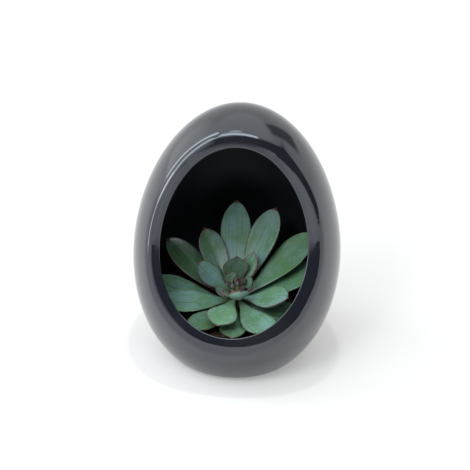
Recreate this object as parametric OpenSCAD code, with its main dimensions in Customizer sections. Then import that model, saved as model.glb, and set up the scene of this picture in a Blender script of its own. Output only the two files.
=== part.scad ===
// Egg-shaped burnished black clay pot with an oval mouth in its front, planted with a rosette succulent.
// Millimetres, +Z up. The origin is the centre of the flat foot, on the surface that the pot stands on.
// The mouth faces -Y.

/* [Pot] */
// Widest diameter of the egg
belly_d = 130; // [110:1:160]
// Height from the foot to the crown of the egg
pot_h = 172; // [143:1:207]
// How far the widest ring lies below the egg's mid-length
belly_drop = 9; // [2:0.5:14]
// Length that the flat foot takes off the blunt end of the egg
foot_cut = 15.5; // [10:0.5:20]
// Thickness of the fired clay wall
wall = 6; // [4:0.5:8]
// Thickness of the clay under the filling
floor_t = 7; // [5:0.5:10]

/* [Mouth] */
// Clear width of the oval mouth
mouth_w = 93; // [70:1:100]
// Clear height of the oval mouth, measured square to its axis
mouth_h = 123; // [90:1:130]
// How far the mouth's axis looks up from level
mouth_tilt = 18; // [5:1:30]
// Height of the mouth's centre above the foot
mouth_z = 88; // [80:1:95]
// Share by which the oval narrows from its middle to its top
mouth_taper = 0.09; // [0:0.01:0.15]

/* [Filling] */
// Diameter of one drainage stone
stone_d = 7; // [5:0.5:8]
// Clear space between neighbouring drainage stones
stone_gap = 0.6; // [0.3:0.1:1.5]
// Depth of potting mix above the drainage stones
mix_depth = 17.5; // [15:0.5:22]
// Widest diameter of the plant's root ball
root_ball_d = 46; // [30:1:60]
// Depth of the root ball
root_ball_h = 15; // [10:0.5:17]
// Mix that covers the top of the root ball
root_cover = 2; // [1:0.5:3]

/* [Plant] */
// Where the stem leaves the mix, to the right of the pot's axis
crown_x = 2; // [-6:0.5:6]
// Where the stem leaves the mix, behind the pot's axis
crown_y = -6; // [-14:0.5:0]
// How far the plant leans forward towards the light of the mouth
lean = 15; // [0:1:25]
// Diameter of the stem
stem_d = 8; // [6:0.5:10]
// How far the reach of a full-length leaf stays short of the pot's inside, at the lowest leaf's height
leaf_gap = 4; // [2:0.5:20]
// Clear height under the neck of the lowest leaf, along the stem
low_leaf_gap = 1.8; // [1:0.1:5]
// Climb of the spiral from one leaf to the next, as a share of a leaf's thickness
leaf_climb = 0.155; // [0.14:0.005:0.3]
// Thickness of a leaf at its fleshy middle
leaf_t = 4.2; // [3:0.1:6]
// Thickness of a leaf where it joins the stem
neck_t = 2; // [1.5:0.1:3]
// How much the slope of a flat-lying leaf grows from its neck to its tip
leaf_curl = 14; // [4:1:30]
// Further growth of the slope for each degree that a leaf rises
curl_gain = 0.5; // [0:0.05:0.8]
// Rise of a leaf's side edges above its middle, as a share of its half-width
leaf_cup = 0.22; // [0:0.02:0.4]

/* [Hidden] */
// Every leaf, from the lowest on the stem to the highest: name, compass angle (0 is +X, 90 is +Y),
// rise above the rosette's plane, and its length and width in hundredths of rosette_r
LEAVES = [
    ["outer_leaf_front",            -88, 19,  76, 34],
    ["outer_leaf_left",             174, 10, 100, 36],
    ["outer_leaf_right",             34,  8, 105, 38],
    ["outer_leaf_back",              97, 36, 122, 38],
    ["outer_leaf_left_back",        146, 17, 112, 38],
    ["outer_leaf_front_right",      -16,  6,  88, 36],
    ["outer_leaf_front_left",      -127, 11,  80, 32],
    ["outer_leaf_right_back",        46, 18, 120, 38],
    ["outer_leaf_left_low",         199,  9,  86, 40],
    ["middle_leaf_back_right",       69, 34, 116, 37],
    ["middle_leaf_front_right",     -56, 13,  82, 40],
    ["middle_leaf_back_left",       126, 31,  88, 35],
    ["inner_leaf_right_back",        68, 50,  58, 20],
    ["middle_leaf_right",           -20, 24,  68, 40],
    ["middle_leaf_front",          -102, 16,  68, 38],
    ["middle_leaf_left",            158, 30,  54, 32],
    ["inner_leaf_front",            -72, 60,  42, 30],
    ["inner_leaf_back",              97, 56,  42, 32],
    ["inner_leaf_front_left",      -142, 50,  30, 24],
    ["heart_leaf_right",             30, 66,  22, 18],
    ["heart_leaf_back_left",        125, 72,  20, 18],
];

clay = [0.05, 0.05, 0.06];
soil = [0.20, 0.14, 0.10];
stone = [0.55, 0.50, 0.45];
root = [0.42, 0.32, 0.22];
bark = [0.45, 0.42, 0.30];
green = [0.38, 0.55, 0.42];
red_green = [0.50, 0.42, 0.34];

// Smoothness of round and oval outlines
egg_steps = 36;
oval_steps = 72;
leaf_rings = 9;
leaf_sides = 8;
round_fn = 96;
stem_fn = 48;
stone_fn = 32;

// ---- Egg ----
egg_len = pot_h + foot_cut;
foot_angle = acos(1 - 2 * foot_cut / egg_len);

// Radius of the egg at a distance x above its mid-length
function egg_r(x) = belly_d / 2 * sqrt(max(0, egg_len * egg_len - 4 * x * x)
    / (egg_len * egg_len + 8 * belly_drop * x + 4 * belly_drop * belly_drop));

// Point of the egg's outline, where a runs from 0 at the blunt end to 180 at the crown
function egg_point(a) = [egg_r(-cos(a) * egg_len / 2), (1 - cos(a)) * egg_len / 2 - foot_cut];

function unit(v) = v / norm(v);

// The same point moved inwards by d, square to the outline
function egg_inset(a, d) =
    let (along = unit(egg_point(a + 0.5) - egg_point(a - 0.5)))
    egg_point(a) + d * [-along[1], along[0]];

module egg_outside() {
    side = [for (i = [0:egg_steps - 1]) egg_point(foot_angle + (180 - foot_angle) * i / egg_steps)];
    rotate_extrude($fn = round_fn) polygon(concat([[0, 0]], side, [[0, pot_h]]));
}

// Outline of the hollow, from low to high, with straight lines between its points
hollow_side = [for (i = [1:egg_steps - 1]) egg_inset(180 * i / egg_steps, wall)];

// Radius of the hollow at a height
function hollow_r(z) = lookup(z, [for (p = hollow_side) [p[1], p[0]]]);

module egg_hollow() {
    rotate_extrude($fn = round_fn)
        polygon(concat([[0, wall - foot_cut]], hollow_side, [[0, pot_h - wall]]));
}

// Part of the hollow between two heights
module hollow_slab(z0, z1) {
    intersection() {
        egg_hollow();
        translate([0, 0, z0]) cylinder(h = z1 - z0, d = belly_d + 2, $fn = round_fn);
    }
}

// ---- Mouth ----
// Point of the oval, x to the side and y up its own plane
function oval_point(a) = [
    mouth_w / 2 * cos(a) * (1 - mouth_taper * sin(a)),
    mouth_h / 2 * sin(a)
];

// Prism that runs out of the hollow along the mouth's axis
module mouth_prism() {
    translate([0, 0, mouth_z])
        rotate([90 - mouth_tilt, 0, 0])
            linear_extrude(belly_d)
                polygon([for (i = [0:oval_steps - 1]) oval_point(360 * i / oval_steps)]);
}

// ---- Heights of the filling ----
stones_top = floor_t + stone_d;
mix_top = stones_top + mix_depth;
ball_top = mix_top - root_cover;
stem_in_ball = root_ball_h / 2;

// ---- Leaves ----
under_share = 0.65;
leaf_count = len(LEAVES);
red_leaves = 6;
leaf_start = low_leaf_gap + under_share * leaf_t;
rosette_r = hollow_r(mix_top + leaf_start) - leaf_gap;
leaf_step = leaf_climb * leaf_t;
leaf_zone = leaf_start + leaf_step * leaf_count;

// Half-width along a leaf as a share of its widest: a narrow neck, a broad spoon and a short point
spoon_at = 0.72;
neck_share = 0.17;
neck_hollow = 1.8;
point_round = 0.6;
function leaf_outline(u) = u < spoon_at
    ? neck_share + (1 - neck_share) * pow(sin(90 * u / spoon_at), neck_hollow)
    : pow(cos(90 * (u - spoon_at) / (1 - spoon_at)), point_round);

// Thickness along a leaf: thin at the neck, full in the middle, thinning to the tip
point_thinning = 0.7;
function leaf_depth(u) = u < spoon_at
    ? neck_t + (leaf_t - neck_t) * sin(90 * u / spoon_at)
    : leaf_t * pow(cos(90 * (u - spoon_at) / (1 - spoon_at)), point_thinning);

function leaf_bend(rise) = leaf_curl + curl_gain * rise;

function leaf_slope(u, rise) = rise + leaf_bend(rise) * (u - 0.5);

// Point on the line that a leaf follows: distance from the stem and height
function leaf_line(u, rise, length) =
    let (bend = leaf_bend(rise), radius = length * 180 / (PI * bend))
    radius * [
        sin(leaf_slope(u, rise)) - sin(leaf_slope(0, rise)),
        cos(leaf_slope(0, rise)) - cos(leaf_slope(u, rise))
    ];

// Point of the skin, where a runs round the leaf from one side edge over its upper face
function leaf_skin(u, a, rise, length, width) =
    let (
        slope = u == 0 ? 0 : leaf_slope(u, rise),
        half = width / 2 * leaf_outline(u),
        lift = leaf_depth(u) * sin(a) * (sin(a) > 0 ? 1 - under_share : under_share),
        cup = leaf_cup * half * cos(a) * cos(a) * min(1, 2 * u),
        at = leaf_line(u, rise, length)
    )
    [at[0] - (lift + cup) * sin(slope), half * cos(a), at[1] + (lift + cup) * cos(slope)];

module leaf_body(rise, length, width) {
    skin = [
        for (i = [0:leaf_rings - 1])
            for (j = [0:leaf_sides - 1])
                leaf_skin(i / leaf_rings, 360 * j / leaf_sides, rise, length, width)
    ];
    tip_line = leaf_line(1, rise, length);
    tip = [tip_line[0], 0, tip_line[1]];
    quads = [
        for (i = [0:leaf_rings - 2])
            for (j = [0:leaf_sides - 1])
                let (k = (j + 1) % leaf_sides, low = i * leaf_sides, high = low + leaf_sides)
                [low + j, high + j, high + k, low + k]
    ];
    last = (leaf_rings - 1) * leaf_sides;
    point = [for (j = [0:leaf_sides - 1]) [last + (j + 1) % leaf_sides, last + j, len(skin)]];
    neck = [[for (j = [0:leaf_sides - 1]) j]];
    polyhedron(concat(skin, [tip]), concat(quads, point, neck), convexity = 4);
}

// Frame of the plant: its origin is where the stem leaves the mix, its Z is the leaning stem
module on_plant() {
    translate([crown_x, crown_y, mix_top]) rotate([lean, 0, 0]) children();
}

module leaf(index) {
    spec = LEAVES[index];
    color(index < leaf_count - red_leaves ? green : red_green)
        on_plant()
            translate([0, 0, leaf_start + leaf_step * index])
                rotate([0, 0, spec[1]])
                    translate([stem_d / 2, 0, 0])
                        leaf_body(spec[2], spec[3] / 100 * rosette_r, spec[4] / 100 * rosette_r);
}

// ---- Sub-parts ----
module pot_shell() {
    color(clay)
        difference() {
            egg_outside();
            hollow_slab(floor_t, pot_h);
            mouth_prism();
        }
}

// One layer of round stones on the floor, in rings round a middle stone
module drainage_stones() {
    pitch = stone_d + stone_gap;
    rings = floor((hollow_r(floor_t) - stone_d / 2) / pitch);
    color(stone)
        translate([0, 0, floor_t + stone_d / 2]) {
            sphere(d = stone_d, $fn = stone_fn);
            for (ring = [1:rings])
                let (count = floor(180 / asin(pitch / (2 * ring * pitch))))
                for (i = [0:count - 1])
                    rotate([0, 0, 360 * i / count]) translate([ring * pitch, 0, 0])
                        sphere(d = stone_d, $fn = stone_fn);
        }
}

module root_ball_solid() {
    chamfer = 3;
    r = root_ball_d / 2;
    base_r = 0.8 * r;
    translate([crown_x, crown_y, ball_top - root_ball_h])
        rotate_extrude($fn = round_fn)
            polygon([
                [0, 0], [base_r - chamfer, 0], [base_r, chamfer],
                [r, root_ball_h - chamfer], [r - chamfer, root_ball_h], [0, root_ball_h]
            ]);
}

module stem_solid() {
    on_plant()
        translate([0, 0, -root_cover - stem_in_ball])
            cylinder(h = root_cover + stem_in_ball + leaf_zone, d = stem_d, $fn = stem_fn);
}

module potting_mix() {
    color(soil)
        difference() {
            hollow_slab(stones_top, mix_top);
            root_ball_solid();
            stem_solid();
        }
}

module root_ball() {
    color(root)
        difference() {
            root_ball_solid();
            stem_solid();
        }
}

module stem() {
    color(bark) stem_solid();
}

// Closed heart of the rosette, on the end of the stem
module growing_tip() {
    bud_h = 0.9 * stem_d;
    bud_base_d = 0.7 * stem_d;
    bud_point_d = 1;
    color(red_green)
        on_plant()
            translate([0, 0, leaf_zone])
                cylinder(h = bud_h, d1 = bud_base_d, d2 = bud_point_d, $fn = stem_fn);
}

pot_shell();
drainage_stones();
potting_mix();
root_ball();
stem();
growing_tip();
for (i = [0:leaf_count - 1])
    leaf(i);
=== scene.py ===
"""An egg-shaped pot of burnished black clay with a rosette succulent growing in its oval mouth.

Metres, +Z up. The pot stands on z = 0 and its mouth faces -Y.
"""

import math

import bmesh
import bpy
import numpy as np
from bpy.props import FloatProperty, FloatVectorProperty, IntProperty, PointerProperty
from mathutils import Matrix, Vector, noise


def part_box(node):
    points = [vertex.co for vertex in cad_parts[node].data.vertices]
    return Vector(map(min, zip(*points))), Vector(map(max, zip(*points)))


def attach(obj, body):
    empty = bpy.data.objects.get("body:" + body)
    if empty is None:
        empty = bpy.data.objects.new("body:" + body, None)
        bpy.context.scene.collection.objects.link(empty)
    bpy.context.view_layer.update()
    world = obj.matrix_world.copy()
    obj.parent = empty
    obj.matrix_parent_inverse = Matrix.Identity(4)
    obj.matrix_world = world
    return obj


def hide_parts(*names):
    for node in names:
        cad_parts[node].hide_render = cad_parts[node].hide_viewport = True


bl_info = {
    "name": "Black Clay Egg Pot",
    "version": (1, 0, 0),
    "blender": (4, 5, 0),
    "location": "3D View > Sidebar > Egg Pot",
    "description": "Finishes a burnished black clay pot and the rosette succulent planted in it",
    "category": "Object",
}

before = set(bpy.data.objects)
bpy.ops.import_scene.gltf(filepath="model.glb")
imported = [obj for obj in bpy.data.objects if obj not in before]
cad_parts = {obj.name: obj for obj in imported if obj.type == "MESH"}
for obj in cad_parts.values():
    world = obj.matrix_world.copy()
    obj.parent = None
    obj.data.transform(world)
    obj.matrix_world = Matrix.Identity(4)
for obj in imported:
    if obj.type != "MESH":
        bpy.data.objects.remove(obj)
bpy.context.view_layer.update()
POT_LOW, POT_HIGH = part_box("pot_shell")
MIX_LOW, MIX_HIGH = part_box("potting_mix")
BODY = "root"
MM = 0.001


# ---- Settings ----


class PotSizes(bpy.types.PropertyGroup):
    """Sizes of the fired clay pot"""

    wall: FloatProperty(name="Wall", description="Thickness of the clay", default=0.006, unit="LENGTH")
    floor: FloatProperty(
        name="Floor", description="Thickness of the clay under the filling", default=0.007, unit="LENGTH"
    )
    foot_cut: FloatProperty(
        name="Foot cut", description="Length that the flat foot takes off the egg",
        default=0.0155, unit="LENGTH"
    )
    belly_drop: FloatProperty(
        name="Belly drop", description="How far the widest ring lies below mid-length",
        default=0.009, unit="LENGTH"
    )
    mouth_width: FloatProperty(
        name="Mouth width", description="Clear width of the oval mouth", default=0.0904, unit="LENGTH"
    )
    mouth_height: FloatProperty(
        name="Mouth height", description="Clear height of the oval mouth", default=0.1215, unit="LENGTH"
    )
    mouth_shift: FloatProperty(
        name="Mouth shift", description="How far the mouth's centre lies to the right",
        default=0.0009, unit="LENGTH"
    )
    mouth_centre: FloatProperty(
        name="Mouth centre", description="Height of the mouth's centre", default=0.0873, unit="LENGTH"
    )
    mouth_tilt: FloatProperty(
        name="Mouth tilt", description="How far the mouth looks up",
        default=math.radians(18), subtype="ANGLE"
    )
    mouth_taper: FloatProperty(
        name="Mouth taper", description="Narrowing of the oval to its top", default=0.09, subtype="FACTOR"
    )
    lip_outer: FloatProperty(
        name="Outer lip", description="Length of the lip's outer rounding", default=0.0032, unit="LENGTH"
    )
    lip_inner: FloatProperty(
        name="Inner lip", description="Length of the lip's inner rounding", default=0.0045, unit="LENGTH"
    )
    foot_round: FloatProperty(
        name="Foot rounding", description="Softness of the foot's edge", default=0.004, unit="LENGTH"
    )
    waver: FloatProperty(
        name="Waver", description="Depth of the hand-shaped unevenness", default=0.0003, unit="LENGTH"
    )
    columns: IntProperty(name="Columns", description="Strips of clay round the mouth", default=256, min=48)


class ClayFinish(bpy.types.PropertyGroup):
    """Colour and gloss of the burnished clay"""

    colour: FloatVectorProperty(
        name="Clay", description="Colour of the smoked clay",
        default=(0.0050, 0.0062, 0.0105), size=3, subtype="COLOR"
    )
    bloom: FloatVectorProperty(
        name="Smoke bloom", description="Colour of the greyer clouds in the clay",
        default=(0.011, 0.011, 0.014), size=3, subtype="COLOR"
    )
    gloss: FloatProperty(
        name="Gloss", description="Optical density of the burnished skin", default=1.84, min=1.3, max=2.6
    )
    roughness: FloatProperty(
        name="Roughness", description="Roughness of the burnished skin", default=0.045, subtype="FACTOR"
    )


class LeafShape(bpy.types.PropertyGroup):
    """Habit of the fleshy leaves"""

    curl: FloatProperty(
        name="Curl", description="Bend of a flat-lying leaf", default=math.radians(14), subtype="ANGLE"
    )
    curl_gain: FloatProperty(name="Curl gain", description="Further bend for the leaf's rise", default=0.5)
    cup: FloatProperty(
        name="Cup", description="Rise of the side edges as a share of half-width",
        default=0.22, subtype="FACTOR"
    )
    thickness: FloatProperty(
        name="Thickness", description="Thickness of the fleshy middle", default=0.0040, unit="LENGTH"
    )
    neck: FloatProperty(
        name="Neck", description="Thickness where the leaf joins the stem", default=0.0020, unit="LENGTH"
    )
    spine: FloatProperty(
        name="Spine", description="Length of the small point on the tip", default=0.0016, unit="LENGTH"
    )
    wave: FloatProperty(
        name="Wave", description="Waviness of the leaf's edge", default=0.0004, unit="LENGTH"
    )


class LeafColours(bpy.types.PropertyGroup):
    """Colours of the succulent"""

    fresh: FloatVectorProperty(
        name="Fresh green", description="Leaf skin where the bloom is rubbed off",
        default=(0.085, 0.200, 0.068), size=3, subtype="COLOR"
    )
    bloom: FloatVectorProperty(
        name="Bloom", description="Leaf skin under its waxy bloom",
        default=(0.195, 0.350, 0.385), size=3, subtype="COLOR"
    )
    under: FloatVectorProperty(
        name="Underside", description="Lower face of a leaf",
        default=(0.150, 0.265, 0.225), size=3, subtype="COLOR"
    )
    blush: FloatVectorProperty(
        name="Blush", description="Edges that see the sun",
        default=(0.088, 0.025, 0.036), size=3, subtype="COLOR"
    )
    spine: FloatVectorProperty(
        name="Spine", description="Dry point of a leaf",
        default=(0.090, 0.036, 0.030), size=3, subtype="COLOR"
    )


class FillColours(bpy.types.PropertyGroup):
    """Colours of the filling"""

    mix: FloatVectorProperty(
        name="Mix", description="Damp potting mix", default=(0.030, 0.019, 0.012), size=3, subtype="COLOR"
    )
    crumb: FloatVectorProperty(
        name="Crumb", description="Dry bark crumb", default=(0.085, 0.055, 0.034), size=3, subtype="COLOR"
    )
    grit: FloatVectorProperty(
        name="Grit", description="Pale grit and drainage stones",
        default=(0.36, 0.32, 0.27), size=3, subtype="COLOR"
    )
    root: FloatVectorProperty(
        name="Root", description="Fibrous roots", default=(0.26, 0.18, 0.10), size=3, subtype="COLOR"
    )
    bark: FloatVectorProperty(
        name="Stem", description="Stem with leaf scars",
        default=(0.060, 0.075, 0.038), size=3, subtype="COLOR"
    )
    crumbs: IntProperty(name="Crumbs", description="Number of loose crumbs", default=420, min=20)


class StageLook(bpy.types.PropertyGroup):
    """Floor, light and camera"""

    floor: FloatVectorProperty(
        name="Floor", description="Colour of the plain floor",
        default=(0.40, 0.40, 0.397), size=3, subtype="COLOR"
    )
    lift: FloatProperty(
        name="Lift", description="Glow of the floor, which keeps its shadows pale", default=0.835
    )
    room: FloatProperty(name="Room", description="Brightness of the pale room", default=0.92)
    lens: FloatProperty(name="Lens", description="Focal length in millimetres", default=337.0)
    azimuth: FloatProperty(
        name="Azimuth", description="Camera's turn to the pot's right",
        default=math.radians(5.2), subtype="ANGLE"
    )
    elevation: FloatProperty(
        name="Elevation", description="Camera's height above level",
        default=math.radians(32), subtype="ANGLE"
    )
    roll: FloatProperty(
        name="Roll", description="Camera's roll", default=math.radians(2.3), subtype="ANGLE"
    )
    distance: FloatProperty(
        name="Distance", description="Camera's distance from its aim", default=2.742, unit="LENGTH"
    )
    aim: FloatVectorProperty(
        name="Aim", description="Point that the camera looks at",
        default=(-0.0015, -0.0002, 0.0821), size=3, subtype="TRANSLATION"
    )


# ---- Shader bench ----


class Wire:
    """An output socket that can be used in sums"""

    def __init__(self, bench, socket):
        self.bench = bench
        self.socket = socket

    def _sum(self, operation, first, second=None):
        return self.bench.fit("ShaderNodeMath", {"operation": operation}, {0: first, 1: second})

    def __add__(self, other):
        return self._sum("ADD", self, other)

    def __radd__(self, other):
        return self._sum("ADD", other, self)

    def __sub__(self, other):
        return self._sum("SUBTRACT", self, other)

    def __rsub__(self, other):
        return self._sum("SUBTRACT", other, self)

    def __mul__(self, other):
        return self._sum("MULTIPLY", self, other)

    def __rmul__(self, other):
        return self._sum("MULTIPLY", other, self)

    def __abs__(self):
        return self._sum("ABSOLUTE", self)


class Bench:
    """Adds nodes to one node tree"""

    def __init__(self, tree):
        self.tree = tree

    def fit(self, kind, settings=None, sockets=None, out=0):
        """Adds a node: its settings first, then the values or wires of its sockets"""
        node = self.tree.nodes.new(kind)
        for name, value in (settings or {}).items():
            setattr(node, name, value)
        for name, value in (sockets or {}).items():
            if value is None:
                continue
            if isinstance(value, Wire):
                self.tree.links.new(value.socket, node.inputs[name])
            else:
                node.inputs[name].default_value = value
        return Wire(self, node.outputs[out])

    def place(self):
        """Place on the piece, in metres"""
        return self.fit("ShaderNodeTexCoord", out="Object")

    def stretched(self, place, scale):
        """The place with each direction scaled by itself"""
        return self.fit("ShaderNodeMapping", None, {"Vector": place, "Scale": scale})

    def cloud(self, place, scale, detail=3.0, roughness=0.55):
        """Soft noise from 0 to 1"""
        sockets = {"Vector": place, "Scale": scale, "Detail": detail, "Roughness": roughness}
        return self.fit("ShaderNodeTexNoise", None, sockets)

    def step(self, value, low, high, to_low=0.0, to_high=1.0):
        """Smooth step of a value between two others"""
        sockets = {0: value, 1: low, 2: high, 3: to_low, 4: to_high}
        return self.fit("ShaderNodeMapRange", {"interpolation_type": "SMOOTHSTEP"}, sockets)

    def mark(self, name):
        """A value that the piece's own points carry"""
        return self.fit("ShaderNodeAttribute", {"attribute_name": name}, out="Fac")

    def blend(self, share, first, second, way="MIX"):
        """Mix of two colours"""
        settings = {"data_type": "RGBA", "blend_type": way, "clamp_factor": True}
        return self.fit("ShaderNodeMix", settings, {0: share, 6: first, 7: second}, out=2)

    def bump(self, height, depth):
        """Surface relief of a height from 0 to 1, depth metres deep"""
        return self.fit("ShaderNodeBump", None, {"Height": height, "Distance": depth, "Strength": 1.0})


def rgba(colour):
    """Colour with full cover"""
    return (*colour, 1.0)


def new_finish(name, constants):
    """A material with one shader and a bench to dress it"""
    material = bpy.data.materials.new(name)
    material.use_nodes = True
    shader = next(n for n in material.node_tree.nodes if n.type == "BSDF_PRINCIPLED")
    for socket, value in constants.items():
        shader.inputs[socket].default_value = value
    return material, Bench(material.node_tree), shader


def dress(bench, shader, **wires):
    """Joins wires to the shader's sockets"""
    for name, wire in wires.items():
        bench.tree.links.new(wire.socket, shader.inputs[name.replace("_", " ")])


# ---- Finishes ----


def burnished_clay(look):
    """Smoked black clay, rubbed with a stone until it shines, and duller where the stone doesn't reach"""
    constants = {"IOR": look.gloss, "Specular IOR Level": 0.5, "Specular Tint": (0.86, 0.925, 1.0, 1.0)}
    material, bench, shader = new_finish("burnished_black_clay", constants)
    place = bench.place()
    smoke = bench.step(bench.cloud(place, 22.0, 4.0), 0.42, 0.72)
    strokes = bench.cloud(bench.stretched(place, (34.0, 34.0, 150.0)), 1.0, 2.0)
    grain = bench.cloud(place, 900.0, 2.0)
    pits = bench.step(bench.cloud(place, 420.0, 2.0), 0.70, 0.80)
    colour = bench.blend(smoke, rgba(look.colour), rgba(look.bloom))
    rough = smoke * 0.02 + strokes * 0.03 + pits * 0.12 + bench.mark("dull") * 0.42 + (look.roughness - 0.02)
    relief = bench.cloud(place, 46.0, 2.0) * 0.5 + strokes * 0.35 + grain * 0.012 - pits * 0.05
    dress(bench, shader, Base_Color=colour, Roughness=rough, Normal=bench.bump(relief, 0.00012))
    return material


def leaf_finish(name, look, redness):
    """Fleshy leaf skin: waxy bloom over fresh green, with a red edge and a dry point"""
    constants = {
        "IOR": 1.48,
        "Subsurface Weight": 0.10,
        "Subsurface Radius": (0.4, 1.0, 0.35),
        "Subsurface Scale": 0.0025,
        "Sheen Weight": 0.14,
        "Sheen Roughness": 0.45,
    }
    material, bench, shader = new_finish(name, constants)
    place = bench.place()
    along, margin = bench.mark("along"), bench.mark("margin")
    upper, wax = bench.mark("upper"), bench.mark("wax")
    tone_and_shade, ruddy = bench.mark("tone_and_shade"), bench.mark("ruddy")
    grown = bench.fit("ShaderNodeCombineXYZ", None, {0: bench.mark("across"), 1: along * 2.2, 2: tone_and_shade * 40.0})
    patches = bench.step(bench.cloud(place, 58.0, 5.0, 0.62), 0.36, 0.66)
    streaks = bench.cloud(bench.stretched(grown, (0.70, 1.1, 1.0)), 1.0, 4.0, 0.6)
    rubs = bench.step(streaks, 0.46, 0.70)
    waxy = wax * (0.25 + 0.75 * patches) * (1.0 - 0.70 * rubs)
    colour = bench.blend(waxy, rgba(look.fresh), rgba(look.bloom))
    colour = bench.blend(bench.step(upper, 0.10, -0.35, 0.0, 0.75), colour, rgba(look.under))
    # Painted shade: each leaf turns darker towards its neck, where the leaves crowd over each other, with a yellower
    # green that the necks have themselves
    neck_shade_and_tint = bench.step(along, 0.26, 0.04, 0.0, 0.35)
    colour = bench.blend(neck_shade_and_tint, colour, (0.12, 0.17, 0.085, 1.0))
    mottle = bench.cloud(place, 620.0, 2.0) * 0.30 + 0.85
    # Multiplies by each leaf's tone, which is partly its own and partly painted shade for leaves that lie in shade
    colour = bench.blend(1.0, colour, tone_and_shade * mottle, "MULTIPLY")
    ragged = margin + (bench.cloud(place, 260.0, 2.0) - 0.5) * 0.5
    flush = bench.step(ragged, 2.2, 0.25, 0.0, 0.40) * ruddy * redness
    colour = bench.blend(flush, colour, rgba(look.blush))
    line = bench.step(ragged, 0.52, 0.16) * ruddy * redness
    colour = bench.blend(line, colour, rgba(look.blush))
    dry = bench.step(along, 0.975, 0.995)
    colour = bench.blend(dry, colour, rgba(look.spine))
    rough = 0.22 + waxy * 0.17 + (1.0 - mottle) * 0.25
    relief = streaks * 0.7 + bench.cloud(place, 210.0, 3.0) * 0.6 + bench.cloud(place, 1500.0, 2.0) * 0.10
    dress(bench, shader, Base_Color=colour, Roughness=rough, Normal=bench.bump(relief, 0.00028))
    return material


def mix_finish(look):
    """Damp potting mix"""
    material, bench, shader = new_finish("damp_potting_mix", {"Specular IOR Level": 0.3})
    place = bench.place()
    lumps = bench.cloud(place, 260.0, 5.0, 0.7)
    flecks = bench.step(bench.cloud(place, 700.0, 2.0), 0.62, 0.70)
    colour = bench.blend(bench.step(lumps, 0.35, 0.70), rgba(look.mix), rgba(look.crumb))
    colour = bench.blend(flecks * 0.5, colour, rgba(look.grit))
    relief = bench.bump(lumps + flecks * 0.3, 0.0012)
    dress(bench, shader, Base_Color=colour, Roughness=0.95 - flecks * 0.15, Normal=relief)
    return material


def crumb_finish(look):
    """Bark crumbs and grit, each with its own shade"""
    material, bench, shader = new_finish("bark_and_grit", {"Specular IOR Level": 0.3})
    place = bench.place()
    shade = bench.mark("shade")
    skin = bench.cloud(place, 900.0, 4.0, 0.7)
    colour = bench.blend(bench.step(shade, 0.2, 0.8), rgba(look.mix), rgba(look.crumb))
    colour = bench.blend(bench.step(shade, 0.88, 0.92), colour, rgba(look.grit))
    colour = bench.blend(1.0, colour, 0.65 + skin * 0.6, "MULTIPLY")
    dress(bench, shader, Base_Color=colour, Roughness=0.85 + skin * 0.12, Normal=bench.bump(skin, 0.0004))
    return material


def stone_finish(look):
    """River-worn drainage stones"""
    material, bench, shader = new_finish("drainage_grit", {"Specular IOR Level": 0.4})
    place = bench.place()
    bands = bench.cloud(bench.stretched(place, (60.0, 90.0, 160.0)), 1.0, 4.0, 0.6)
    specks = bench.step(bench.cloud(place, 1400.0, 2.0), 0.60, 0.68)
    colour = bench.blend(bands, rgba(look.grit), (0.16, 0.15, 0.14, 1.0))
    colour = bench.blend(specks * 0.6, colour, (0.06, 0.055, 0.05, 1.0))
    relief = bench.bump(bands * 0.7 + specks * 0.2, 0.0005)
    dress(bench, shader, Base_Color=colour, Roughness=0.62 + bands * 0.2, Normal=relief)
    return material


def root_finish(look):
    """Matted fine roots with mix between them"""
    material, bench, shader = new_finish("matted_roots", {"Specular IOR Level": 0.3})
    place = bench.place()
    threads = abs(bench.cloud(bench.stretched(place, (240.0, 240.0, 60.0)), 1.0, 4.0, 0.7) - 0.5)
    fibre = bench.step(threads, 0.05, 0.01)
    colour = bench.blend(fibre, rgba(look.mix), rgba(look.root))
    dress(bench, shader, Base_Color=colour, Roughness=0.92 - fibre * 0.1, Normal=bench.bump(fibre, 0.0006))
    return material


def stem_finish(look):
    """Corky stem with rings of leaf scars"""
    material, bench, shader = new_finish("scarred_stem", {"Specular IOR Level": 0.35})
    place = bench.place()
    cork = bench.cloud(place, 380.0, 4.0, 0.65)
    scars = bench.step(bench.cloud(bench.stretched(place, (90.0, 90.0, 520.0)), 1.0, 2.0), 0.52, 0.62)
    colour = bench.blend(cork, rgba(look.bark), (0.22, 0.26, 0.12, 1.0))
    colour = bench.blend(scars * 0.7, colour, (0.07, 0.05, 0.03, 1.0))
    relief = bench.bump(cork * 0.5 + scars * 0.5, 0.0006)
    dress(bench, shader, Base_Color=colour, Roughness=0.75 + cork * 0.15, Normal=relief)
    return material


# ---- Making pieces ----


def piece_from(bm, name, material, slot=None, replaces=()):
    """Turns a finished bmesh into a smooth piece that rides with the pot"""
    bmesh.ops.recalc_face_normals(bm, faces=bm.faces[:])
    mesh = bpy.data.meshes.new(name)
    bm.to_mesh(mesh)
    bm.free()
    mesh.shade_smooth()
    mesh.materials.append(material)
    piece = bpy.data.objects.new(name, mesh)
    bpy.context.scene.collection.objects.link(piece)
    if slot is None:
        return piece
    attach(piece, BODY)
    if replaces:
        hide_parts(*replaces)
    return piece


def marked_bmesh(*names):
    """An empty bmesh whose vertices can carry the named values"""
    bm = bmesh.new()
    for name in names:
        bm.verts.layers.float.new(name)
    return bm


def put_marks(bm, verts, marks):
    """Writes a value for each vertex under each mark's name"""
    for name, values in marks.items():
        layer = bm.verts.layers.float[name]
        for vert, value in zip(verts, values):
            vert[layer] = float(value)


def finish_cad_node(name, material):
    """Gives a CAD node its finish"""
    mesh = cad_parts[name].data
    mesh.materials.clear()
    mesh.materials.append(material)


def unit(vectors):
    """Each vector at length 1"""
    return vectors / np.linalg.norm(vectors, axis=-1, keepdims=True)


# ---- Pot ----


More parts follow.
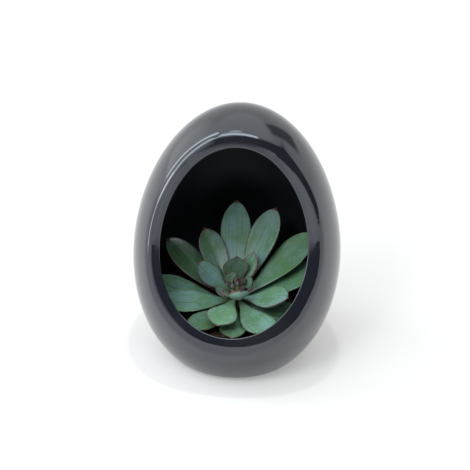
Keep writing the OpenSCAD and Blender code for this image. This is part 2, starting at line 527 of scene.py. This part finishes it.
class EggSkin:
    """The egg's outside moved inwards, with its flat bottom: above 0 outside, below 0 inside"""

    def __init__(self, sizes, inset, bottom, rounding):
        length = POT_HIGH.z + sizes.foot_cut
        drop = sizes.belly_drop
        along = -np.cos(np.linspace(0.0, math.pi, 1600)) * length / 2
        squash = length**2 + 8 * drop * along + 4 * drop**2
        radius = (POT_HIGH.x - POT_LOW.x) / 2 * np.sqrt(np.maximum(length**2 - 4 * along**2, 0) / squash)
        step_up, step_out = np.gradient(along), np.gradient(radius)
        size = np.hypot(step_up, step_out)
        self.height = along + inset * step_out / size + length / 2 - sizes.foot_cut
        self.radius = radius - inset * step_up / size
        self.lean = np.clip(np.abs(step_out) / np.maximum(step_up, 1e-9), 0, 6)
        self.bottom = bottom
        self.rounding = rounding

    def __call__(self, points):
        height = points[:, 2]
        reach = np.interp(height, self.height, self.radius, left=0, right=0)
        lean = np.interp(height, self.height, self.lean)
        wall = (np.hypot(points[:, 0], points[:, 1]) - reach) / np.hypot(1, lean)
        base = self.bottom - height
        share = np.clip(0.5 + 0.5 * (wall - base) / self.rounding, 0, 1)
        return base + (wall - base) * share + self.rounding * share * (1 - share)

    def exit(self, start, way):
        """Where lines from inside leave the skin"""
        near, far = np.zeros(len(way)), np.full(len(way), 0.2)
        for _ in range(36):
            middle = (near + far) / 2
            outside = self(start + way * middle[:, None]) > 0
            far = np.where(outside, middle, far)
            near = np.where(outside, near, middle)
        return start + way * near[:, None]

    def normal(self, points):
        """Direction square to the skin"""
        nudge = 2e-5
        slopes = [self(points + nudge * axis) - self(points - nudge * axis) for axis in np.eye(3)]
        return unit(np.stack(slopes, axis=1))


def turned(first, second, share):
    """Directions part of the way from one to another, along the great circle"""
    angle = np.arccos(np.clip((first * second).sum(axis=1), -1, 1))[:, None]
    share = share[:, None]
    return (np.sin((1 - share) * angle) * first + np.sin(share * angle) * second) / np.sin(angle)


def bowed(start, corner, end, share):
    """Points on a curve that rounds a corner"""
    return (1 - share) ** 2 * start + 2 * share * (1 - share) * corner + share**2 * end


def throw_pot(sizes):
    """One closed clay wall: the outside from its back to the mouth, round the lip, and the inside back again"""
    outside = EggSkin(sizes, 0.0, 0.0, sizes.foot_round)
    inside = EggSkin(sizes, sizes.wall, sizes.floor, sizes.foot_round)
    centre = np.array([sizes.mouth_shift, 0.0, sizes.mouth_centre])
    tilt = sizes.mouth_tilt
    look_out = np.array([0.0, -math.cos(tilt), math.sin(tilt)])
    look_up = np.array([0.0, math.sin(tilt), math.cos(tilt)])

    turns = np.arange(sizes.columns) * math.tau / sizes.columns
    across = sizes.mouth_width / 2 * np.cos(turns) * (1 - sizes.mouth_taper * np.sin(turns))
    upward = sizes.mouth_height / 2 * np.sin(turns)
    oval = np.stack([across, upward], axis=1)
    run = unit(np.roll(oval, -1, axis=0) - np.roll(oval, 1, axis=0))
    apart = np.stack([run[:, 1], -run[:, 0]], axis=1)
    to_mouth = -apart[:, :1] * np.array([1.0, 0, 0]) - apart[:, 1:] * look_up
    # The lip's face: how much is flat, as shares of its breadth, and how it broadens low and to the right
    flat_from, flat_to = 0.40, 0.66
    slack, narrowest, broadest = 1.25, 0.0090, 0.0096
    broader = 0.00095 + 0.00075 * np.cos(turns) - 0.0011 * np.sin(turns)
    lip_inner = (sizes.lip_inner * (1 - 0.3 * np.sin(turns)))[:, None]
    face = np.full(sizes.columns, 0.008)
    for _ in range(3):
        tuck = lip_inner[:, 0] * 0.67
        arm = face * (1 - flat_to)
        reach = oval + apart * (face - arm * tuck / (arm + tuck))[:, None]
        start = centre + reach[:, :1] * np.array([1.0, 0, 0]) + reach[:, 1:] * look_up
        outer_edge = outside.exit(start, np.tile(look_out, (sizes.columns, 1)))
        square = outside.normal(outer_edge)
        slant = np.sqrt(1 - np.clip(square @ look_out, 0, 0.99) ** 2)
        face = np.clip(sizes.wall / slant * slack, narrowest, broadest) + broader
    inner_edge = outer_edge + to_mouth * face[:, None]
    inward = unit(to_mouth - square * (to_mouth * square).sum(axis=1)[:, None])
    out_way = unit(outer_edge - inward * sizes.lip_outer - centre)
    in_way = unit(inner_edge - inward * lip_inner - centre)
    out_end, in_end = outside.exit(centre, out_way), inside.exit(centre, in_way)
    face_from = outer_edge + (inner_edge - outer_edge) * flat_from
    face_to = outer_edge + (inner_edge - outer_edge) * flat_to

    rows_out, rows_lip, rows_in = 118, 24, 64
    last = rows_out + rows_lip + rows_in
    bm = marked_bmesh("dull")
    chain = [bm.verts.new((min(row, last - row) / last, 0, row / last)) for row in range(last + 1)]
    edges = [bm.edges.new(pair) for pair in zip(chain, chain[1:])]
    bmesh.ops.spin(
        bm, geom=chain + edges, cent=(0, 0, 0), axis=(0, 0, 1), dvec=(0, 0, 0),
        angle=math.tau, steps=sizes.columns, use_merge=True,
    )
    bmesh.ops.remove_doubles(bm, verts=bm.verts[:], dist=1e-7)
    places = np.array([v.co for v in bm.verts])
    row = np.rint(places[:, 2] * last).astype(int)
    column = np.rint(np.arctan2(places[:, 1], places[:, 0]) / math.tau * sizes.columns).astype(int) % sizes.columns
    back = np.tile(-look_out, (len(row), 1))

    shaped = np.zeros((len(row), 3))
    parts = (
        (row < rows_out, row / rows_out, out_way, outside),
        (row > rows_out + rows_lip, (last - row) / rows_in, in_way, inside),
    )
    for chosen, share, way, skin in parts:
        eased = share[chosen] * (1.3 - 0.3 * share[chosen])
        shaped[chosen] = skin.exit(centre, turned(back[chosen], way[column[chosen]], eased))
    chosen = (row >= rows_out) & (row <= rows_out + rows_lip)
    # Each rounding of the lip takes one unit of its rows, and the flat between them takes 0.4
    flat_rows = 0.4
    seat, share = column[chosen], (row[chosen] - rows_out)[:, None] / rows_lip * (2 + flat_rows)
    outer_bow = bowed(out_end[seat], outer_edge[seat], face_from[seat], np.clip(share, 0, 1))
    flat = face_from[seat] + (face_to[seat] - face_from[seat]) * np.clip((share - 1) / flat_rows, 0, 1)
    inner_bow = bowed(face_to[seat], inner_edge[seat], in_end[seat], np.clip(share - 1 - flat_rows, 0, 1))
    shaped[chosen] = np.where(share < 1, outer_bow, np.where(share < 1 + flat_rows, flat, inner_bow))

    turn, height = np.arctan2(shaped[:, 1], shaped[:, 0]), shaped[:, 2] / POT_HIGH.z
    swell = np.sin(2 * turn + 1.1 + 3 * height) + np.sin(3 * turn - 5 * height) + np.sin(5 * turn + 9 * height + 0.7)
    fade = np.sin(np.clip(height, 0, 1) * math.pi) / np.maximum(np.hypot(shaped[:, 0], shaped[:, 1]), 0.02)
    shaped[:, :2] *= (1 - sizes.waver * (0.5 + swell / 6) * fade)[:, None]
    for vert, place in zip(bm.verts, shaped):
        vert.co = place
    under_lip = np.clip(0.4 + 1.4 * np.sin(turns[column]), 0, 1)
    on_lip = np.clip((row - rows_out - 9) / 6, 0, 1) * under_lip
    inside_pot = np.clip((row - rows_out - rows_lip) / 3, 0, 1)
    put_marks(bm, bm.verts, {"dull": np.maximum(on_lip, inside_pot)})
    return bm


# ---- Leaves ----


def stem_line():
    """A point on the stem's middle and the way that it grows"""
    points = np.array([v.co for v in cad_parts["stem"].data.vertices])
    heads = points[points[:, 2] > np.percentile(points[:, 2], 60)]
    feet = points[points[:, 2] < np.percentile(points[:, 2], 40)]
    centre = (points.min(axis=0) + points.max(axis=0)) / 2
    way = np.linalg.svd(points - points.mean(axis=0))[2][0]
    way = way * np.sign(way @ (heads.mean(axis=0) - feet.mean(axis=0)))
    return centre, way


class LeafSeat:
    """Where a leaf grows from and how large it is"""

    def __init__(self, origin, outward, upward, rise, length, width, bluntness):
        self.origin = origin
        self.outward = outward
        self.upward = upward
        self.sideward = np.cross(upward, outward)
        self.rise = rise
        self.length = length
        self.width = width
        self.bluntness = bluntness


# Leaves that close further round the heart than their seats say, in radians
FOLDED = {"inner_leaf_front": 0.24, "heart_leaf_right": 0.08}


def bend_of(shape, rise):
    """How much a leaf's slope grows from neck to tip"""
    return shape.curl + shape.curl_gain * rise


def seat_of(node, shape, centre, way):
    """Reads a leaf's seat off its CAD node"""
    points = np.array([v.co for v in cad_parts[node].data.vertices]) - centre
    climb = points @ way
    flat = points - climb[:, None] * way
    reach = np.linalg.norm(flat, axis=1)
    tip = reach.argmax()
    outward = flat[tip] / reach[tip]
    out = flat @ outward
    neck = out < out.min() + 0.0001
    neck_climb = 0.65 * climb[neck].max() + 0.35 * climb[neck].min()
    chord_out, chord_up = out[tip] - out.min(), climb[tip] - neck_climb
    rise = math.atan2(chord_up, chord_out)
    bend = bend_of(shape, rise)
    length = math.hypot(chord_out, chord_up) * (bend / 2) / math.sin(bend / 2)
    width = 2 * np.abs(flat @ np.cross(way, outward)).max() / 0.99
    origin = centre + way * neck_climb + outward * out.min()
    bluntness = 0.68 if node.startswith(("inner", "heart")) else 0.50
    return LeafSeat(origin, outward, way, rise + FOLDED.get(node, 0.0), length, width, bluntness)


def grow_leaf(bm, seat, shape, traits, seed, fineness=(40, 46)):
    """One fleshy leaf with a narrow neck, a broad spoon, a keel beneath and a small dry point"""
    tone_and_shade, wax, ruddy = traits
    made = bmesh.ops.create_uvsphere(bm, u_segments=fineness[0], v_segments=fineness[1], radius=1.0)["verts"]
    ball = np.array([v.co for v in made])
    u = (1 - ball[:, 2]) / 2
    u = 0.35 * u + 0.65 * np.arccos(np.clip(ball[:, 2], -1, 1)) / math.pi
    round_at = np.arctan2(ball[:, 1], ball[:, 0])
    side, top = np.cos(round_at), np.sin(round_at)
    at_pole = np.abs(ball[:, 2]) > 0.99999
    side[at_pole], top[at_pole] = 0.0, 0.0

    broad = 0.70
    near = u < broad
    rising = np.sin(np.clip(u / broad, 0, 1) * math.pi / 2)
    falling = np.cos(np.clip((u - broad) / (1 - broad), 0, 1) * math.pi / 2)
    outline = np.where(near, 0.17 + 0.83 * rising**1.8, falling**seat.bluntness)
    depth = np.where(near, shape.neck + (shape.thickness - shape.neck) * rising, shape.thickness * falling**0.75)
    closing = np.sqrt(np.clip(u / 0.03, 0, 1))
    size = min(1.0, seat.length / 0.03)
    half = seat.width / 2 * outline * closing
    depth = depth * closing * (0.20 + 0.80 * size)

    bend = bend_of(shape, seat.rise)
    slope = seat.rise + bend * (u - 0.5)
    radius = seat.length / bend
    low = seat.rise - bend / 2
    out = radius * (np.sin(slope) - math.sin(low))
    up = radius * (math.cos(low) - np.cos(slope))
    keel = 1 + 0.22 * (1 - np.abs(side)) ** 2
    lift = depth * top * np.where(top > 0, 0.35 - 0.10 * (1 - np.abs(side)) ** 3, 0.62 * keel)
    cup = shape.cup * half * side**2 * np.minimum(1, 2 * u)
    wave = shape.wave * size * np.sin(u * 9 + seed * 1.7 + 1.2 * np.sign(side)) * side**2 * u
    rise_by = lift + cup + wave
    sway = 0.0012 * size * math.sin(seed * 2.3) * np.sin(u * math.pi)
    point = shape.spine * size * np.exp(-((half / 0.0011) ** 2)) * (u > 0.9)
    out = out - rise_by * np.sin(slope) + point * np.cos(slope)
    up = up + rise_by * np.cos(slope) + point * np.sin(slope) * 0.8
    sideways = half * side + sway

    places = seat.origin + out[:, None] * seat.outward + sideways[:, None] * seat.sideward + up[:, None] * seat.upward
    for vert, place in zip(made, places):
        vert.co = place
    margin = np.minimum(half * (1 - np.abs(side)), (1 - u) * seat.length) / MM
    steady = np.ones(len(made))
    marks = {
        "along": u, "across": half * side / MM, "margin": margin, "upper": top,
        "tone_and_shade": steady * tone_and_shade, "wax": steady * wax, "ruddy": steady * ruddy,
    }
    put_marks(bm, made, marks)


LEAF_MARKS = ("along", "across", "margin", "upper", "tone_and_shade", "wax", "ruddy")

# Tone, wax and redness of each leaf; the tone is partly the leaf's own and partly painted shade, lower for leaves
# that lie in shade
LEAF_TRAITS = {
    "outer_leaf_front": (0.72, 0.35, 0.35),
    "outer_leaf_left": (0.84, 0.60, 0.30),
    "outer_leaf_right": (1.00, 0.35, 0.25),
    "outer_leaf_back": (0.80, 0.75, 0.45),
    "outer_leaf_left_back": (0.58, 0.45, 0.70),
    "outer_leaf_front_right": (0.58, 0.50, 0.45),
    "outer_leaf_front_left": (0.66, 0.40, 0.35),
    "outer_leaf_right_back": (0.90, 0.40, 0.30),
    "outer_leaf_left_low": (0.98, 0.60, 0.35),
    "middle_leaf_back_right": (0.78, 0.70, 0.55),
    "middle_leaf_front_right": (0.86, 0.60, 0.45),
    "middle_leaf_back_left": (0.57, 0.60, 0.90),
    "middle_leaf_right": (1.00, 0.75, 0.80),
    "middle_leaf_front": (1.05, 0.70, 0.80),
    "middle_leaf_left": (0.66, 0.80, 1.00),
    "inner_leaf_right_back": (0.70, 0.55, 1.00),
    "inner_leaf_front": (1.05, 0.80, 1.00),
    "inner_leaf_back": (0.38, 0.50, 1.00),
    "inner_leaf_front_left": (0.90, 0.70, 1.00),
    "heart_leaf_right": (0.80, 0.55, 1.00),
    "heart_leaf_back_left": (0.75, 0.55, 1.00),
}


def slot_of_leaf(node):
    """The record's slot for a leaf"""
    if node.startswith("heart"):
        return "leaf_heart"
    return "leaf_inner" if node.startswith("inner") else "leaf_outer"


def leaf_materials(look):
    """The three leaf finishes, made once"""
    redness = {"leaf_outer": 0.8, "leaf_inner": 1.0, "leaf_heart": 1.0}
    made = {}
    for slot, red in redness.items():
        made[slot] = bpy.data.materials.get(slot + "_skin") or leaf_finish(slot + "_skin", look, red)
    return made


# ---- Filling ----


def heap_mix(sizes):
    """The potting mix: sides that meet the clay, and a crumbly top"""
    hollow = EggSkin(sizes, sizes.wall + 0.0002, -1.0, 0.0001)
    low, high = MIX_LOW.z, MIX_HIGH.z - 0.0006
    reach = lambda height: float(np.interp(height, hollow.height, hollow.radius))
    sides = np.linspace(low, high, 9)
    top = np.linspace(reach(high), 0.0, 34)[1:]
    line = [(0.0, low), (reach(low) / 2, low)] + [(reach(z), z) for z in sides] + [(r, high) for r in top]
    bm = bmesh.new()
    chain = [bm.verts.new((r, 0, z)) for r, z in line]
    edges = [bm.edges.new(pair) for pair in zip(chain, chain[1:])]
    bmesh.ops.spin(
        bm, geom=chain + edges, cent=(0, 0, 0), axis=(0, 0, 1), dvec=(0, 0, 0),
        angle=math.tau, steps=128, use_merge=True,
    )
    bmesh.ops.remove_doubles(bm, verts=bm.verts[:], dist=1e-7)
    for vert in bm.verts:
        away = math.hypot(vert.co.x, vert.co.y)
        if vert.co.z > high - 1e-6 and away < reach(high) - 0.0005:
            lumps = noise.fractal(vert.co * 260, 0.8, 2.1, 4)
            slope = noise.noise(vert.co * 45)
            vert.co.z += (lumps * 0.0006 + slope * 0.0009) * min(1.0, (reach(high) - away) / 0.004)
    return bm


def scatter_crumbs(sizes, look):
    """Loose bark crumbs and grit on the mix"""
    hollow = EggSkin(sizes, sizes.wall, -1.0, 0.0001)
    height = MIX_HIGH.z - 0.0004
    reach = float(np.interp(height, hollow.height, hollow.radius)) - 0.0022
    dice = np.random.default_rng(41)
    bm = marked_bmesh("shade")
    for _ in range(look.crumbs):
        made = bmesh.ops.create_icosphere(bm, subdivisions=1, radius=1.0)["verts"]
        away, turn = reach * math.sqrt(dice.random()), dice.random() * math.tau
        size = 0.0004 + 0.0009 * dice.random() ** 2.2
        long, wide, tall = dice.uniform(0.8, 1.6), dice.uniform(0.6, 1.0), dice.uniform(0.4, 0.9)
        form = Matrix.Diagonal((size * long, size * wide, size * tall, 1))
        spin = Matrix.Rotation(dice.random() * math.tau, 4, "Z") @ Matrix.Rotation(dice.uniform(-0.5, 0.5), 4, "X")
        move = Matrix.Translation((away * math.cos(turn), away * math.sin(turn), height + size * 0.25))
        for vert in made:
            vert.co *= dice.uniform(0.78, 1.12)
        bmesh.ops.transform(bm, matrix=move @ spin @ form, verts=made)
        put_marks(bm, made, {"shade": [dice.random()] * len(made)})
    return bm


# ---- Operators ----


class ThrowPot(bpy.types.Operator):
    """Throws the clay pot and burnishes it"""

    bl_idname = "egg_pot.throw_pot"
    bl_label = "Throw Pot"

    def execute(self, context):
        settings = context.scene
        bm = throw_pot(settings.egg_pot_sizes)
        piece_from(bm, "burnished_pot", burnished_clay(settings.egg_pot_clay), "black_clay", ["pot_shell"])
        return {"FINISHED"}


class GrowLeaves(bpy.types.Operator):
    """Grows the rosette's leaves on the places that the frame gives them"""

    bl_idname = "egg_pot.grow_leaves"
    bl_label = "Grow Leaves"

    def execute(self, context):
        shape, look = context.scene.egg_pot_leaf_shape, context.scene.egg_pot_leaf_colours
        centre, way = stem_line()
        finishes = leaf_materials(look)
        for seed, (node, traits) in enumerate(LEAF_TRAITS.items()):
            bm = marked_bmesh(*LEAF_MARKS)
            grow_leaf(bm, seat_of(node, shape, centre, way), shape, traits, seed)
            slot = slot_of_leaf(node)
            piece_from(bm, "fleshy_" + node, finishes[slot], slot, [node])
        return {"FINISHED"}


class GrowHeart(bpy.types.Operator):
    """Packs the youngest leaves round the growing tip"""

    bl_idname = "egg_pot.grow_heart"
    bl_label = "Grow Heart"

    def execute(self, context):
        shape, look = context.scene.egg_pot_leaf_shape, context.scene.egg_pot_leaf_colours
        centre, way = stem_line()
        tip = np.array([v.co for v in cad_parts["growing_tip"].data.vertices]) - centre
        base, top = (tip @ way).min(), (tip @ way).max()
        side = unit(np.cross(way, np.array([0.0, 1.0, 0.0])))
        ahead = np.cross(way, side)
        bm = marked_bmesh(*LEAF_MARKS)
        last = 13
        for count in range(last + 1):
            share = count / last
            turn = count * math.radians(137.5) + 0.6
            outward = math.cos(turn) * side + math.sin(turn) * ahead
            climb = base - 0.0052 + (top - base + 0.0030) * share
            origin = centre + way * climb + outward * 0.0034 * (1 - share) ** 0.8
            length, width = 0.0108 - 0.0056 * share, 0.0056 - 0.0030 * share
            seat = LeafSeat(origin, outward, way, math.radians(52 + 34 * share), length, width, 0.95)
            # The heart's low tones are partly painted shade deep in the rosette and partly the young leaves' own
            # darker colour
            grow_leaf(bm, seat, shape, (0.45 + 0.12 * (count % 3), 0.5, 1.0), 30 + count, (20, 22))
        piece_from(bm, "heart_bud", leaf_materials(look)["leaf_heart"], "leaf_heart", ["growing_tip"])
        return {"FINISHED"}


class FillPot(bpy.types.Operator):
    """Fills the pot with stones, mix, crumbs, roots and stem"""

    bl_idname = "egg_pot.fill_pot"
    bl_label = "Fill Pot"

    def execute(self, context):
        sizes, look = context.scene.egg_pot_sizes, context.scene.egg_pot_fill
        piece_from(heap_mix(sizes), "potting_mix_heap", mix_finish(look), "potting_mix", ["potting_mix"])
        piece_from(scatter_crumbs(sizes, look), "mix_crumbs", crumb_finish(look), "potting_mix")
        finish_cad_node("drainage_stones", stone_finish(look))
        finish_cad_node("root_ball", root_finish(look))
        finish_cad_node("stem", stem_finish(look))
        return {"FINISHED"}


def aim_of(azimuth, elevation):
    """Direction from the pot towards a place in the room, with the azimuth to the pot's right"""
    flat = math.cos(elevation)
    return Vector((math.sin(azimuth) * flat, -math.cos(azimuth) * flat, math.sin(elevation)))


def light_room(look):
    """A pale room with a soft window, a soft panel overhead and a dim side behind the camera"""
    world = bpy.data.worlds.new("pale_room")
    world.use_nodes = True
    bpy.context.scene.world = world
    bench = Bench(world.node_tree)
    ground = next(n for n in world.node_tree.nodes if n.type == "BACKGROUND")
    way = bench.fit("ShaderNodeTexCoord", out="Generated")

    def towards(direction):
        sockets = {0: way, 1: tuple(direction)}
        return bench.fit("ShaderNodeVectorMath", {"operation": "DOT_PRODUCT"}, sockets, out="Value")

    def patch(azimuth, elevation, half, soft):
        cosine = towards(aim_of(math.radians(azimuth), math.radians(elevation)))
        return bench.step(cosine, math.cos(math.radians(half + soft)), math.cos(math.radians(half - soft)))

    def panel(azimuth, elevation, wide, high, soft):
        centre = aim_of(math.radians(azimuth), math.radians(elevation))
        level = Vector((-centre.y, centre.x, 0)).normalized()
        upright = centre.cross(level)
        inside = bench.step(towards(centre), 0.0, 0.05)
        for axis, half in ((level, wide), (upright, high)):
            edge = math.sin(math.radians(half))
            inside = inside * bench.step(abs(towards(axis)), edge + soft, edge - soft)
        return inside

    # Paler wall on the left, dim side behind the camera, dim opening at the back right
    light = look.room + 0.6 * patch(-100, 10, 34, 12)
    light = light * (1.0 - 0.90 * panel(38, 20, 58, 27, 0.05))
    light = light * (1.0 - 0.74 * panel(137, 27, 8, 16, 0.06))
    # Pale ceiling at the back, two tall windows on the left, a lamp, and a light panel over the camera
    light = light + 0.35 * patch(180, 80, 40, 8)
    light = light + 4.2 * panel(-97, 30, 7, 26, 0.02)
    light = light + 3.4 * panel(-50, 22, 9, 22, 0.03)
    light = light + 1.8 * patch(-70, 80, 9, 4)
    light = light + 4.0 * panel(-6, 61, 26, 10, 0.03)
    tint = bench.blend(bench.step(light, 1.0, 4.0), (1.0, 0.995, 0.985, 1.0), (0.90, 0.96, 1.0, 1.0))
    world.node_tree.links.new(tint.socket, ground.inputs["Color"])
    world.node_tree.links.new(light.socket, ground.inputs["Strength"])


def hang_light(name, place, size, power, tall=None):
    """A soft light that looks at the mouth: round and in no reflection, or a tall strip that glints"""
    lamp = bpy.data.lights.new(name, "AREA")
    lamp.shape = "RECTANGLE" if tall else "DISK"
    lamp.size = size
    lamp.size_y = tall or size
    lamp.energy = power
    piece = bpy.data.objects.new(name, lamp)
    toward = Vector((0, 0, 0.05)) - Vector(place)
    piece.matrix_world = Matrix.Translation(place) @ toward.to_track_quat("-Z", "Y").to_matrix().to_4x4()
    piece.visible_glossy = tall is not None
    piece.visible_camera = False
    bpy.context.scene.collection.objects.link(piece)


class SetStage(bpy.types.Operator):
    """Lays the plain floor, lights it softly and sets the camera"""

    bl_idname = "egg_pot.set_stage"
    bl_label = "Set Stage"

    def execute(self, context):
        look = context.scene.egg_pot_stage
        constants = {"Specular IOR Level": 0.1, "Emission Color": rgba(look.floor), "Emission Strength": look.lift}
        material, bench, shader = new_finish("plain_floor", constants)
        dust = bench.cloud(bench.place(), 3.0, 2.0)
        shade = bench.blend(dust * 0.06, rgba(look.floor), (0.34, 0.34, 0.34, 1.0))
        dress(bench, shader, Base_Color=shade, Roughness=0.85 + dust * 0.05)
        bm = bmesh.new()
        bmesh.ops.create_circle(bm, cap_ends=True, segments=128, radius=4.0)
        bmesh.ops.translate(bm, verts=bm.verts[:], vec=(0, 0, -0.0001))
        piece_from(bm, "studio_floor", material)
        light_room(look)
        hang_light("overhead_spot", (0.0, 0.0, 2.2), 0.10, 10.0)
        hang_light("left_strip", (-0.56, -0.40, 0.12), 0.10, 0.30, tall=0.24)
        hang_light("front_fill", tuple(1.2 * aim_of(math.radians(-22), math.radians(47))), 0.30, 4.7)

        back = aim_of(look.azimuth, look.elevation)
        right = Vector((-back.y, back.x, 0)).normalized()
        up = back.cross(right)
        tilted = right * math.cos(look.roll) + up * math.sin(look.roll)
        upright = back.cross(tilted)
        camera = bpy.data.cameras.new("camera")
        camera.lens = look.lens
        camera.clip_start, camera.clip_end = 0.05, 50.0
        holder = bpy.data.objects.new("camera", camera)
        turn = Matrix((tilted, upright, back)).transposed().to_4x4()
        holder.matrix_world = Matrix.Translation(Vector(look.aim) + back * look.distance) @ turn
        context.scene.collection.objects.link(holder)
        context.scene.camera = holder
        context.scene.view_settings.view_transform = "Standard"
        return {"FINISHED"}


class EggPotPanel(bpy.types.Panel):
    """Lists the steps and their settings"""

    bl_idname = "VIEW3D_PT_egg_pot"
    bl_label = "Egg Pot"
    bl_space_type = "VIEW_3D"
    bl_region_type = "UI"
    bl_category = "Egg Pot"

    def draw(self, context):
        for operator in OPERATORS:
            self.layout.operator(operator.bl_idname)
        for name, group in SETTINGS.items():
            box = self.layout.box()
            box.label(text=group.__doc__)
            for prop in group.__annotations__:
                box.prop(getattr(context.scene, name), prop)


SETTINGS = {
    "egg_pot_sizes": PotSizes,
    "egg_pot_clay": ClayFinish,
    "egg_pot_leaf_shape": LeafShape,
    "egg_pot_leaf_colours": LeafColours,
    "egg_pot_fill": FillColours,
    "egg_pot_stage": StageLook,
}
OPERATORS = (SetStage, ThrowPot, FillPot, GrowLeaves, GrowHeart)
CLASSES = (*SETTINGS.values(), *OPERATORS, EggPotPanel)


def register():
    for made in CLASSES:
        bpy.utils.register_class(made)
    for name, group in SETTINGS.items():
        setattr(bpy.types.Scene, name, PointerProperty(type=group))


def unregister():
    for name in SETTINGS:
        delattr(bpy.types.Scene, name)
    for made in reversed(CLASSES):
        bpy.utils.unregister_class(made)


def main():
    register()
    bpy.ops.egg_pot.set_stage()
    bpy.ops.egg_pot.throw_pot()
    bpy.ops.egg_pot.fill_pot()
    bpy.ops.egg_pot.grow_leaves()
    bpy.ops.egg_pot.grow_heart()


if __name__ == "__main__":
    main()
